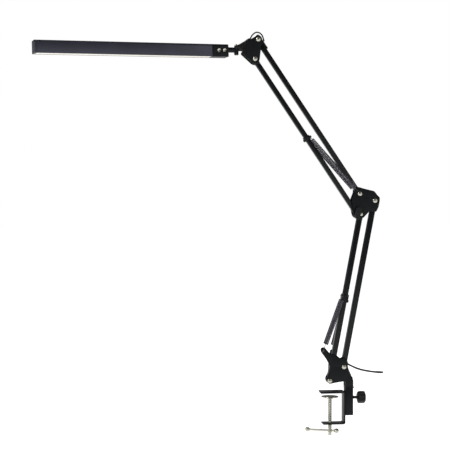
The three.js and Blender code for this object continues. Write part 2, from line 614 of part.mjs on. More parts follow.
// ---- Cables ----
function makeCables() {
  const loop = [
    [-166, 0, 726.5], [-166.6, 0, 732], [-162.4, 0, 739.3], [-155.3, 0, 744.4], [-148, 0, 743.4],
    [-142.4, 0, 738], [-138.5, 0, 726.6],
  ];
  piece("head_cable", tubeAlong(loop, 1.4, 8, 20), finishes.rubber);

  const route = [
    [36.5, 15.5, 59.6], [41.9, 15.5, 56.9], [48.3, 15.6, 53.8], [56.9, 15.8, 49.8], [65, 16, 46.8], [73.7, 16.2, 44.2],
    [85, 16.6, 41.9], [96.6, 17, 39.8], [105.8, 17, 38.6], [113.1, 19, 37.9], [118.4, 24.3, 37.2], [120.4, 31.6, 36.5],
    [118.4, 38.9, 35.9], [113.1, 44.2, 35.6], [105.8, 46.2, 35.6], [94, 46.2, 37], [80.5, 46, 39.8], [71.5, 45.6, 42.4],
    [63.4, 44.8, 45.6], [55, 43.4, 50], [48.4, 41.8, 53.5], [43, 40.5, 55.9], [37.4, 39.9, 57], [31.7, 39.7, 55.8],
  ];
  piece("power_cord", tubeAlong(route, CORD_RADIUS, CORD_SIDES, 40), finishes.rubber);

  // Twelve turns lie three across and four deep.
  const across = 3 * CORD_RADIUS;
  const deep = 4 * CORD_RADIUS;
  const ring = new THREE.LatheGeometry(
    [[-deep, -across], [deep, -across], [deep, across], [-deep, across], [-deep, -across]].map(
      ([r, h]) => new THREE.Vector2(COIL_RADIUS + r, h),
    ),
    32,
  );
  const coil = new THREE.Group();
  coil.position.set(...COIL_CENTRE);
  coil.rotation.z = COIL_TURN;
  lamp.add(coil);
  piece("cord_coil", ring.rotateZ(-Math.PI / 2), finishes.rubber, coil);
  const tieHalf = 3.5;
  const tie = cut(
    box(-across - 1.5, across + 1.5, COIL_RADIUS - deep - 2.2, COIL_RADIUS + deep + 1.5, -tieHalf, tieHalf),
    box(-across - GAP, across + GAP, COIL_RADIUS - deep - 1, COIL_RADIUS + deep + GAP, -10, 10),
  );
  piece("cord_tie", tie, finishes.rubber, coil);
  const plug = join(
    turned([[0, 16], [4, 16], [3.8, 20], [2.6, 27.6], [0, 27.6]], 12),
    box(-4, 4, -8, 8, 6.5, 17),
    box(-2.3, 2.3, -6, 6, 0, 7),
  );
  piece("cord_plug", plug, finishes.blackPlastic, coil).position.set(10.6, -19.5, -25.5);

  const gland = new THREE.Group();
  gland.position.set(18, 15.5, 68.4);
  gland.rotation.y = Math.PI / 2 + 25.5 * degrees;
  lamp.add(gland);
  const relief = join(
    turned([[0, -4], [4, -4], [4, 4], [2.7, 20], [0, 20]], 12),
    box(-5, 5, -15.5 + PLATE_INNER_Y + PLATE_THICK + GAP, 3.5, -5, 4),
  );
  piece("cable_gland", relief, finishes.blackPlastic, gland);
}

makeClamp();
makeBase();
makeArms();
makeElbow();
makeHeadBracket();
makeHead();
makeCables();

export default lamp;
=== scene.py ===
"""The looks of an architect desk lamp: finishes, edges, springs, threads, fasteners, lights and the power cord."""
import json
import math

import bmesh
import bpy
from bpy.props import FloatProperty, FloatVectorProperty, IntProperty, PointerProperty
from bpy.types import Operator, Panel, PropertyGroup
from mathutils import Euler, Matrix, Vector

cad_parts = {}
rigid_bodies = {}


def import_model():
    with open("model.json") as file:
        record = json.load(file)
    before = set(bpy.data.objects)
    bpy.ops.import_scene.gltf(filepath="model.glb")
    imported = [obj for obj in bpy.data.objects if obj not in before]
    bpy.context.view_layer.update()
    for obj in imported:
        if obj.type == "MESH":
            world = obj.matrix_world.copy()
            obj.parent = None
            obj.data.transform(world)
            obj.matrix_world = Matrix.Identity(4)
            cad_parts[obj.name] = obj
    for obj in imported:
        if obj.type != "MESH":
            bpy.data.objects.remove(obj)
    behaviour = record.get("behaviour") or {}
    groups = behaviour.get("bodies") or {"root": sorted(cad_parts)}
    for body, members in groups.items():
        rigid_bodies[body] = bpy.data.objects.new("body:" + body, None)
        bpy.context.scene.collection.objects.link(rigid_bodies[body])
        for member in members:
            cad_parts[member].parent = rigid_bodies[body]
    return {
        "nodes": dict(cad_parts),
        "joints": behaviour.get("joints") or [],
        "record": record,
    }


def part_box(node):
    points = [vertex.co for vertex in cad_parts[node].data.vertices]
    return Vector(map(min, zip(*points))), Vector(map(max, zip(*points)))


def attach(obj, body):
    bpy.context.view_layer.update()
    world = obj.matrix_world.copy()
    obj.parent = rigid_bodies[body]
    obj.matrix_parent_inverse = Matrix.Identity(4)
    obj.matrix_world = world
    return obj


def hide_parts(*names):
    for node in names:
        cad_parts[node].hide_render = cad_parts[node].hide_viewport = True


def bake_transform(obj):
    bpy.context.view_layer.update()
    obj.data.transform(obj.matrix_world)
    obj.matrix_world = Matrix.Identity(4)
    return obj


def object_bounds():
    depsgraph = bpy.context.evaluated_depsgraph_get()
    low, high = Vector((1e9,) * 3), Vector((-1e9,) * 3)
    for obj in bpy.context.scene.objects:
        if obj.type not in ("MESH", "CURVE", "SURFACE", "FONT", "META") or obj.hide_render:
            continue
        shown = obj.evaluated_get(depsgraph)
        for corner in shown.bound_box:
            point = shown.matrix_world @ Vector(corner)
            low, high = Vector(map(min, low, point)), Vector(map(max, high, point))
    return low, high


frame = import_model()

bl_info = {
    "name": "Desk lamp looks",
    "version": (1, 0, 0),
    "blender": (4, 5, 0),
    "location": "3D View > Sidebar > Desk lamp",
    "description": "Finishes and fine pieces of a desk lamp with a clamp, a sprung arm and a light bar",
    "category": "Object",
}

CAD_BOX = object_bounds()
MM = 0.001
JOINTS = {joint["name"]: joint for joint in frame["joints"]}
BODY_OF = {node: body for body, nodes in frame["record"]["behaviour"]["bodies"].items() for node in nodes}


def pivot(joint):
    """Where a joint's axis is, in metres."""
    return Vector(JOINTS[joint]["pos_m"])


def middle(node):
    """The middle of a CAD node's box."""
    low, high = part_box(node)
    return (low + high) / 2


LOWER_LEAN = math.radians(10.75)
UPPER_LEAN = math.radians(-34.1)
HEAD_TURN = Euler((0, math.radians(1.75), math.radians(194)), "XYZ")  # +X of the turned axes runs out along the head
HANDLE_TURN = math.radians(-23)


# ---- Shader expressions ----
class Value:
    """A shader socket that Python expressions can use."""

    def __init__(self, shader, socket):
        self.shader = shader
        self.socket = socket

    def _math(self, operation, first, second):
        return self.shader.node("ShaderNodeMath", {"operation": operation}, {0: first, 1: second})["Value"]

    def __add__(self, other):
        return self._math("ADD", self, other)

    def __radd__(self, other):
        return self._math("ADD", other, self)

    def __sub__(self, other):
        return self._math("SUBTRACT", self, other)

    def __rsub__(self, other):
        return self._math("SUBTRACT", other, self)

    def __mul__(self, other):
        return self._math("MULTIPLY", self, other)

    def __rmul__(self, other):
        return self._math("MULTIPLY", other, self)


class Shader:
    """A material whose nodes are made by one method."""

    def __init__(self, name):
        self.material = bpy.data.materials.new(name)
        self.material.use_nodes = True
        self.tree = self.material.node_tree
        self.tree.nodes.clear()
        self.surface = self.tree.nodes.new("ShaderNodeBsdfPrincipled")
        output = self.tree.nodes.new("ShaderNodeOutputMaterial")
        self.tree.links.new(self.surface.outputs["BSDF"], output.inputs["Surface"])

    def feed(self, socket, value):
        if isinstance(value, Value):
            self.tree.links.new(value.socket, socket)
        else:
            socket.default_value = value

    def node(self, kind, settings=None, inputs=None):
        """Makes a node of a kind, with its settings first, and returns its outputs by name."""
        made = self.tree.nodes.new(kind)
        for name, setting in (settings or {}).items():
            if name == "stops":
                ramp = made.color_ramp.elements
                for place, (position, level) in enumerate(setting):
                    stop = ramp[place] if place < len(ramp) else ramp.new(position)
                    stop.position = position
                    stop.color = (level, level, level, 1)
            else:
                setattr(made, name, setting)
        for name, value in (inputs or {}).items():
            self.feed(made.inputs[name], value)
        return {socket.name: Value(self, socket) for socket in made.outputs if socket.enabled}

    def place(self, turn=(0, 0, 0), stretch=(1, 1, 1)):
        """Object coordinates, turned to a piece's own axes and stretched along them."""
        coordinates = self.node("ShaderNodeTexCoord")["Object"]
        inputs = {"Vector": coordinates, "Rotation": tuple(turn), "Scale": stretch}
        return self.node("ShaderNodeMapping", {"vector_type": "TEXTURE"}, inputs)["Vector"]

    def noise(self, vector, size, detail=2.0):
        """Noise from 0 to 1 with features of a size in metres."""
        return self.node("ShaderNodeTexNoise", {}, {"Vector": vector, "Scale": 1 / size, "Detail": detail})["Fac"]

    def ramp(self, factor, *stops):
        return self.node("ShaderNodeValToRGB", {"stops": stops}, {"Fac": factor})["Color"]

    def mix(self, factor, first, second):
        """A mix of two colours."""
        outputs = self.node("ShaderNodeMix", {"data_type": "RGBA"}, {
            "Factor": factor, 6: (*first, 1) if isinstance(first, tuple) else first,
            7: (*second, 1) if isinstance(second, tuple) else second,
        })
        return outputs["Result"]

    def bump(self, height, distance, strength=1.0):
        inputs = {"Height": height, "Distance": distance, "Strength": strength}
        return self.node("ShaderNodeBump", {}, inputs)["Normal"]


def finish(name, colour, worn, rough, grain, metal=0.0, specular=0.5, bump=0.00004, turn=(0, 0, 0),
           stretch=(1, 1, 1), coat=0.0, patch=0.02, rub=0.35):
    """A finish: two tones in soft patches, a fine grain in roughness and height, and small marks from handling."""
    shader = Shader(name)
    own = shader.place(turn, stretch)
    plain = shader.place()
    patches = shader.noise(plain, patch, 3.0)
    fine = shader.noise(own, grain, 4.0)
    marks = shader.ramp(shader.noise(plain, patch * 0.35, 6.0), (0.55, 0.0), (0.72, 1.0))
    surface = shader.surface.inputs
    tone = shader.ramp(patches * 0.6 + fine * 0.4, (0.3, 0.0), (0.7, 1.0))
    shader.feed(surface["Base Color"], shader.mix(tone, colour, worn))
    low, high = rough
    shader.feed(surface["Roughness"], fine * (high - low) + low + marks * (rub * (high - low)))
    shader.feed(surface["Normal"], shader.bump(fine + patches * 0.15, bump))
    surface["Metallic"].default_value = metal
    surface["Specular IOR Level"].default_value = specular
    surface["Coat Weight"].default_value = coat
    surface["Coat Roughness"].default_value = 0.15
    return shader.material


def make_finishes():
    colours = bpy.context.scene.lamp_colours
    enamel = tuple(colours.enamel)
    enamel_worn = tuple(c * 1.8 + 0.0008 for c in enamel)
    nickel = tuple(colours.nickel)
    return {
        "black_steel": finish("powder_coated_steel", enamel, enamel_worn, (0.34, 0.5), 0.0006, specular=0.16,
                              bump=0.00006),
        "lower_tube": finish("enamelled_tube_lower", enamel, enamel_worn, (0.26, 0.4), 0.0012, specular=0.2,
                             bump=0.00003, turn=(0, LOWER_LEAN, 0), stretch=(1, 1, 18)),
        "upper_tube": finish("enamelled_tube_upper", enamel, enamel_worn, (0.26, 0.4), 0.0012, specular=0.2,
                             bump=0.00003, turn=(0, UPPER_LEAN, 0), stretch=(1, 1, 18)),
        "black_plastic": finish("moulded_nylon", (0.004, 0.0045, 0.005), (0.008, 0.0088, 0.01), (0.45, 0.65),
                                0.0005, specular=0.2, bump=0.00008),
        "rubber": finish("soft_rubber", (0.010, 0.010, 0.010), (0.022, 0.022, 0.021), (0.75, 0.92), 0.0008,
                         specular=0.25, bump=0.0001),
        "cable": finish("cable_sheath", (0.006, 0.006, 0.007), (0.012, 0.012, 0.013), (0.42, 0.58), 0.0007,
                        specular=0.2, bump=0.00005),
        "steel": finish("nickel_plate", nickel, tuple(c * 0.82 for c in nickel), (0.12, 0.3), 0.0007, metal=1.0,
                        bump=0.00002, patch=0.006),
        "handle": finish("polished_bar", tuple(min(1, c * 1.08) for c in nickel), tuple(c * 0.85 for c in nickel),
                         (0.16, 0.34), 0.0006, metal=1.0, bump=0.00002, turn=(0, 0, HANDLE_TURN), stretch=(12, 1, 1),
                         patch=0.01),
        "spring": finish("oiled_spring_wire", (0.06, 0.058, 0.07), (0.12, 0.115, 0.135), (0.22, 0.4), 0.0006,
                         metal=0.85, bump=0.00002, patch=0.004),
        "anodised": finish("anodised_bar", tuple(colours.anodised), tuple(c * 1.35 for c in colours.anodised),
                           (0.3, 0.42), 0.0005, metal=0.55, specular=0.45, bump=0.00002, turn=HEAD_TURN,
                           stretch=(60, 1, 1), patch=0.05),
        "diffuser": finish("frosted_diffuser", tuple(colours.diffuser), tuple(c * 0.93 for c in colours.diffuser),
                           (0.4, 0.55), 0.0004, specular=0.4, bump=0.00003, patch=0.03),
        "board": finish("white_solder_mask", (0.78, 0.78, 0.74), (0.7, 0.7, 0.66), (0.35, 0.5), 0.0008),
        "lens": finish("light_chip", (0.85, 0.72, 0.25), (0.78, 0.62, 0.18), (0.2, 0.35), 0.0004),
    }


# ---- Mesh helpers ----
def shade(mesh, angle=32):
    mesh.shade_smooth()
    mesh.set_sharp_from_angle(angle=math.radians(angle))


def to_object(name, build, material):
    """A mesh object at the origin from a bmesh in metres, with its faces turned outwards."""
    bmesh.ops.remove_doubles(build, verts=build.verts, dist=1e-6)
    bmesh.ops.recalc_face_normals(build, faces=build.faces)
    mesh = bpy.data.meshes.new(name)
    build.to_mesh(mesh)
    build.free()
    mesh.materials.append(material)
    shade(mesh)
    made = bpy.data.objects.new(name, mesh)
    bpy.context.scene.collection.objects.link(made)
    return made


def stand_in(made, slot, *nodes):
    """The object takes the place of CAD nodes of one body and moves with them."""
    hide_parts(*nodes)
    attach(made, BODY_OF[nodes[0]])
    return made


def add_turned(build, profile, matrix, sides=40):
    """Adds a closed turned solid from (radius, height) points in metres that start and end on the axis."""
    rings = []
    for radius, height in profile:
        if radius < 1e-9:
            rings.append([build.verts.new(matrix @ Vector((0, 0, height)))])
            continue
        turns = [2 * math.pi * i / sides for i in range(sides)]
        rings.append([
            build.verts.new(matrix @ Vector((radius * math.cos(t), radius * math.sin(t), height))) for t in turns
        ])
    for lower, upper in zip(rings, rings[1:]):
        for i in range(sides):
            corners = [lower[i % len(lower)], lower[(i + 1) % len(lower)],
                       upper[(i + 1) % len(upper)], upper[i % len(upper)]]
            build.faces.new(list(dict.fromkeys(corners)))


def turned_object(name, profile_mm, matrix, material, sides=40):
    build = bmesh.new()
    add_turned(build, [(r * MM, h * MM) for r, h in profile_mm], matrix, sides)
    return to_object(name, build, material)


def add_tube(build, points, radius, sides=12):
    """Adds a closed tube along points in metres, with rounded ends."""
    count = len(points)
    tangents = [(points[min(i + 1, count - 1)] - points[max(i - 1, 0)]).normalized() for i in range(count)]
    side = tangents[0].orthogonal().normalized()
    rings = []
    for i, (point, tangent) in enumerate(zip(points, tangents)):
        side = (side - tangent * side.dot(tangent)).normalized()
        across = tangent.cross(side)
        size = radius
        rings.append([
            build.verts.new(point + (side * math.cos(t) + across * math.sin(t)) * size)
            for t in (2 * math.pi * k / sides for k in range(sides))
        ])
    for lower, upper in zip(rings, rings[1:]):
        for k in range(sides):
            build.faces.new([lower[k], lower[(k + 1) % sides], upper[(k + 1) % sides], upper[k]])
    for ring, tip in ((rings[0], points[0] - tangents[0] * radius * 0.5), (rings[-1], points[-1] + tangents[-1] * radius * 0.5)):
        top = build.verts.new(tip)
        for k in range(sides):
            build.faces.new([ring[k], ring[(k + 1) % sides], top])


def smooth_path(points, step):
    """Points a step apart along a smooth curve through the given points."""
    dense = []
    count = len(points)
    for i in range(count - 1):
        p0, p1, p2, p3 = (points[max(0, min(count - 1, i + k))] for k in (-1, 0, 1, 2))
        pieces = max(2, int((p2 - p1).length / step))
        for k in range(pieces):
            t = k / pieces
            dense.append(0.5 * ((2 * p1) + (p2 - p0) * t + (2 * p0 - 5 * p1 + 4 * p2 - p3) * t * t
                                + (3 * p1 - p0 - 3 * p2 + p3) * t ** 3))
    dense.append(points[-1].copy())
    return dense


def soften(node, material, slot, width=0.35, segments=2):
    """A CAD node with the small rounded edges of the real piece, in its finish."""
    source = frame["nodes"][node]
    build = bmesh.new()
    build.from_mesh(source.data)
    bmesh.ops.remove_doubles(build, verts=build.verts, dist=2e-6)
    bmesh.ops.dissolve_limit(build, angle_limit=math.radians(1), verts=build.verts, edges=build.edges)
    sharp = [edge for edge in build.edges if edge.is_manifold and edge.calc_face_angle() > math.radians(38)]
    bmesh.ops.bevel(build, geom=sharp, offset=width * MM, offset_type="OFFSET", segments=segments, profile=0.5,
                    affect="EDGES", clamp_overlap=True, loop_slide=True)
    bmesh.ops.triangulate(build, faces=[face for face in build.faces if len(face.verts) > 4])
    return stand_in(to_object(node + "_finished", build, material), slot, node)


# ---- Geometry Nodes helpers ----
class Nodes:
    """A Geometry Nodes tree with named inputs, made by one method."""

    def __init__(self, name, inputs):
        self.tree = bpy.data.node_groups.new(name, "GeometryNodeTree")
        self.tree.interface.new_socket("Geometry", in_out="INPUT", socket_type="NodeSocketGeometry")
        self.ids = {}
        for label, kind in inputs.items():
            socket = self.tree.interface.new_socket(label, in_out="INPUT", socket_type=kind)
            self.ids[label] = socket.identifier
        self.tree.interface.new_socket("Geometry", in_out="OUTPUT", socket_type="NodeSocketGeometry")
        self.start = self.tree.nodes.new("NodeGroupInput").outputs
        self.end = self.tree.nodes.new("NodeGroupOutput").inputs

    def node(self, kind, settings=None, inputs=None):
        made = self.tree.nodes.new(kind)
        for name, setting in (settings or {}).items():
            setattr(made, name, setting)
        for name, value in (inputs or {}).items():
            if isinstance(value, bpy.types.NodeSocket):
                self.tree.links.new(value, made.inputs[name])
            else:
                made.inputs[name].default_value = value
        return made.outputs

    def close(self, geometry, material):
        """Ends the tree in Realize Instances and Set Material."""
        real = self.node("GeometryNodeRealizeInstances", {}, {"Geometry": geometry})[0]
        done = self.node("GeometryNodeSetMaterial", {}, {"Geometry": real, "Material": material})[0]
        self.tree.links.new(done, self.end["Geometry"])

    def run(self, name, mesh, values, matrix=None, extra=None):
        """The tree's result on a mesh as a plain object, moved by a matrix and joined with an extra bmesh."""
        carrier = bpy.data.objects.new(name + "_carrier", mesh)
        bpy.context.scene.collection.objects.link(carrier)
        modifier = carrier.modifiers.new("shape", "NODES")
        modifier.node_group = self.tree
        for label, value in values.items():
            modifier[self.ids[label]] = value
        carrier.update_tag()
        graph = bpy.context.evaluated_depsgraph_get()
        result = bpy.data.meshes.new_from_object(carrier.evaluated_get(graph), depsgraph=graph)
        carrier.modifiers.remove(modifier)
        bpy.data.objects.remove(carrier)
        build = bmesh.new()
        build.from_mesh(result)
        build.transform(matrix or Matrix.Identity(4))
        if extra is not None:
            spare = bpy.data.meshes.new("spare")
            extra.to_mesh(spare)
            extra.free()
            build.from_mesh(spare)
            bpy.data.meshes.remove(spare)
        material = result.materials[0]
        bpy.data.meshes.remove(result)
        return to_object(name, build, material)


def coil_nodes():
    """A closed wire coil up +Z from the origin."""
    nodes = Nodes("wire_coil", {
        "Turns": "NodeSocketFloat", "Radius": "NodeSocketFloat", "Height": "NodeSocketFloat",
        "Wire Radius": "NodeSocketFloat", "Steps": "NodeSocketInt", "Wire Sides": "NodeSocketInt",
        "Material": "NodeSocketMaterial",
    })
    start = nodes.start
    spiral = nodes.node("GeometryNodeCurveSpiral", {}, {
        "Resolution": start["Steps"], "Rotations": start["Turns"], "Start Radius": start["Radius"],
        "End Radius": start["Radius"], "Height": start["Height"],
    })[0]
    section = nodes.node("GeometryNodeCurvePrimitiveCircle", {}, {
        "Radius": start["Wire Radius"], "Resolution": start["Wire Sides"],
    })[0]
    wire = nodes.node("GeometryNodeCurveToMesh", {}, {"Curve": spiral, "Profile Curve": section, "Fill Caps": True})[0]
    nodes.close(wire, start["Material"])
    return nodes


def repeat_nodes():
    """A template piece set on every vertex of the carrier mesh."""
    nodes = Nodes("repeated_piece", {
        "Template": "NodeSocketObject", "Turn": "NodeSocketRotation", "Material": "NodeSocketMaterial",
    })
    start = nodes.start
    template = nodes.node("GeometryNodeObjectInfo", {"transform_space": "ORIGINAL"}, {"Object": start["Template"]})
    points = nodes.node("GeometryNodeMeshToPoints", {}, {"Mesh": start["Geometry"]})[0]
    placed = nodes.node("GeometryNodeInstanceOnPoints", {}, {
        "Points": points, "Instance": template["Geometry"], "Rotation": start["Turn"],
    })[0]
    nodes.close(placed, start["Material"])
    return nodes


def point_mesh(name, points):
    mesh = bpy.data.meshes.new(name)
    mesh.from_pydata([tuple(p) for p in points], [], [])
    return mesh


# ---- Settings a user would change ----
class LampSizes(PropertyGroup):
    """Sizes of the lamp's fine pieces."""
    spring_wire: FloatProperty(name="Spring wire", description="Radius of the spring wire", default=0.00062,
                               unit="LENGTH")
    lower_coil: FloatProperty(name="Lower coil", description="Outer radius of the lower springs", default=0.0056,
                              unit="LENGTH")
    upper_coil: FloatProperty(name="Upper coil", description="Outer radius of the upper springs", default=0.0039,
                              unit="LENGTH")
    thread_pitch: FloatProperty(name="Thread pitch", description="Rise of the clamp screw's thread in one turn",
                                default=0.00125, unit="LENGTH")
    cord_length: FloatProperty(name="Cord length", description="Length of the power cord", default=1.8,
                               unit="LENGTH")
    cord_diameter: FloatProperty(name="Cord diameter", description="Diameter of the power cord", default=0.0035,
                                 unit="LENGTH")
    light_chips: IntProperty(name="Light chips", description="Number of light chips on the board", default=48, min=1)


class LampColours(PropertyGroup):
    """Colours of the lamp's main finishes."""
    enamel: FloatVectorProperty(name="Enamel", description="Black coat of the arm and clamp", subtype="COLOR",
                                default=(0.0022, 0.0030, 0.0036))
    nickel: FloatVectorProperty(name="Nickel", description="Plated screws, bolts and handle", subtype="COLOR",
                                default=(0.50, 0.49, 0.42))
    anodised: FloatVectorProperty(name="Light bar", description="Anodised light bar", subtype="COLOR",
                                  default=(0.030, 0.031, 0.044))
    diffuser: FloatVectorProperty(name="Diffuser", description="Frosted strip under the light bar", subtype="COLOR",
                                  default=(0.72, 0.69, 0.62))


# ---- Stage and cord ----
CAMERA_TARGET = Vector((-0.21945, 0, 0.34895))
CAMERA_DISTANCE = 2.30
CAMERA_AZIMUTH = math.radians(-7)
CAMERA_ELEVATION = math.radians(0.6)
FIELD_OF_VIEW = math.radians(22.68)


class LAMP_OT_stage(Operator):
    """Set up the camera, the pale floor and the studio lights"""
    bl_idname = "lamp.stage"
    bl_label = "Stage"

    def execute(self, context):
        back = Vector((
            math.sin(CAMERA_AZIMUTH) * math.cos(CAMERA_ELEVATION),
            -math.cos(CAMERA_AZIMUTH) * math.cos(CAMERA_ELEVATION),
            math.sin(CAMERA_ELEVATION),
        ))
        data = bpy.data.cameras.new("camera")
        data.angle = FIELD_OF_VIEW
        data.clip_end = 50
        camera = bpy.data.objects.new("camera", data)
        camera.location = CAMERA_TARGET + back * CAMERA_DISTANCE
        camera.rotation_euler = (-back).to_track_quat("-Z", "Y").to_euler()
        context.scene.collection.objects.link(camera)
        context.scene.camera = camera
        context.scene.view_settings.view_transform = "Standard"
        context.scene.view_settings.look = "None"

        build = bmesh.new()
        level = CAD_BOX[0].z - 0.03
        bmesh.ops.create_circle(build, cap_ends=True, segments=64, radius=40)
        bmesh.ops.translate(build, verts=build.verts, vec=(0, 0, level))
        shader = Shader("pale_floor")
        cloud = shader.noise(shader.place(), 1.5, 2.0)
        shader.feed(shader.surface.inputs["Base Color"], shader.mix(cloud, (0.86, 0.86, 0.86), (0.9, 0.9, 0.9)))
        shader.surface.inputs["Roughness"].default_value = 0.9
        shader.surface.inputs["Specular IOR Level"].default_value = 0.0
        shader.surface.inputs["Emission Color"].default_value = (1, 1, 1, 1)
        shader.surface.inputs["Emission Strength"].default_value = 0.9
        floor = to_object("floor", build, shader.material)

        world = context.scene.world or bpy.data.worlds.new("world")
        context.scene.world = world
        world.use_nodes = True
        tree = world.node_tree
        backdrop = tree.nodes["Background"]
        backdrop.inputs["Color"].default_value = (1, 1, 1, 1)
        path = tree.nodes.new("ShaderNodeLightPath")
        level_of = tree.nodes.new("ShaderNodeMapRange")
        level_of.inputs["To Min"].default_value = 0.16
        level_of.inputs["To Max"].default_value = 1.0
        tree.links.new(path.outputs["Is Camera Ray"], level_of.inputs["Value"])
        tree.links.new(level_of.outputs["Result"], backdrop.inputs["Strength"])

        lights = {
            "key": ((-2.0, -1.5, 1.7), 0.8, 1.2, 30),
            "side": ((-2.4, 0.5, 0.5), 0.5, 1.8, 14),
            "fill": ((1.8, -1.6, 1.2), 0.8, 1.0, 6),
            "rim": ((0.6, 2.0, 1.8), 1.2, 0.6, 10),
        }
        for name, (place, width, height, power) in lights.items():
            lamp = bpy.data.lights.new(name, "AREA")
            lamp.shape = "RECTANGLE"
            lamp.size = width
            lamp.size_y = height
            lamp.energy = power
            holder = bpy.data.objects.new(name, lamp)
            holder.location = place
            holder.rotation_euler = (CAMERA_TARGET - Vector(place)).to_track_quat("-Z", "Y").to_euler()
            context.scene.collection.objects.link(holder)
        return {"FINISHED"}


# The cord runs out past the bracket, turns back behind itself and goes down into the coil.
CORD_ROUTE = [
    (36.5, 15.5, 59.6), (41.9, 15.5, 56.9), (48.3, 15.6, 53.8), (56.9, 15.8, 49.8), (65, 16, 46.8),
    (73.7, 16.2, 44.2), (85, 16.6, 41.9), (96.6, 17, 39.8), (105.8, 17, 38.6), (113.1, 19, 37.9),
    (118.4, 24.3, 37.2), (120.4, 31.6, 36.5), (118.4, 38.9, 35.9), (113.1, 44.2, 35.6), (105.8, 46.2, 35.6),
    (94, 46.2, 37), (80.5, 46, 39.8), (71.5, 45.6, 42.4), (63.4, 44.8, 45.6), (55, 43.4, 50), (48.4, 41.8, 53.5),
    (43, 40.5, 55.9), (37.4, 39.9, 57), (31.7, 39.7, 55.8), (26.9, 39.6, 52.6), (23.7, 39.6, 47.8),
]
COIL_CENTRE = Vector((25, 66, 42))
COIL_AXIS = Vector((math.cos(math.radians(13)), -math.sin(math.radians(13)), 0))
COIL_OUT = Vector((math.sin(math.radians(13)), math.cos(math.radians(13)), 0))
COIL_OUTER = 26.25
LAYER_TURNS = 3
LAYERS = 4
STEPS_PER_TURN = 24


def coil_points(diameter):
    """The coil's centre line: three turns side by side in each of four layers, from the outside in."""
    points = []
    turns = LAYER_TURNS * LAYERS - 0.25
    drift_from = turns - 0.3
    for i in range(int(turns * STEPS_PER_TURN) + 1):
        t = i / STEPS_PER_TURN
        whole = int(t)
        into = max(0.0, (t - whole - 0.62) / 0.38)
        ease = into * into * (3 - 2 * into)
        here, following = turn_place(whole), turn_place(min(whole + 1, LAYER_TURNS * LAYERS - 1))
        layer = here[0] + (following[0] - here[0]) * ease
        column = here[1] + (following[1] - here[1]) * ease
        radius = COIL_OUTER - layer * diameter
        if t > drift_from:
            column += 1.15 * ((t - drift_from) / 0.3) ** 2
        angle = 2 * math.pi * t
        points.append(
            COIL_CENTRE - COIL_OUT * radius * math.cos(angle) - Vector((0, 0, radius * math.sin(angle)))
            + COIL_AXIS * column * diameter
        )
    return points


def turn_place(turn):
    """The layer and the column of a turn; each layer runs back over the one before."""
    layer, step = divmod(turn, LAYER_TURNS)
    column = 1 - step if layer % 2 == 0 else step - 1
    return layer, column


def cord_tail(last):
    """From the coil's top, over the edge and down to the plug."""
    steps = [(4, 0.9, 0), (9.3, 1.9, -0.9), (14, 2.5, -3.6), (17.4, 2.9, -7.8), (19.3, 3, -12.8), (19.5, 3, -15.5)]
    return [last - COIL_OUT * out + COIL_AXIS * aside + Vector((0, 0, down)) for out, aside, down in steps]


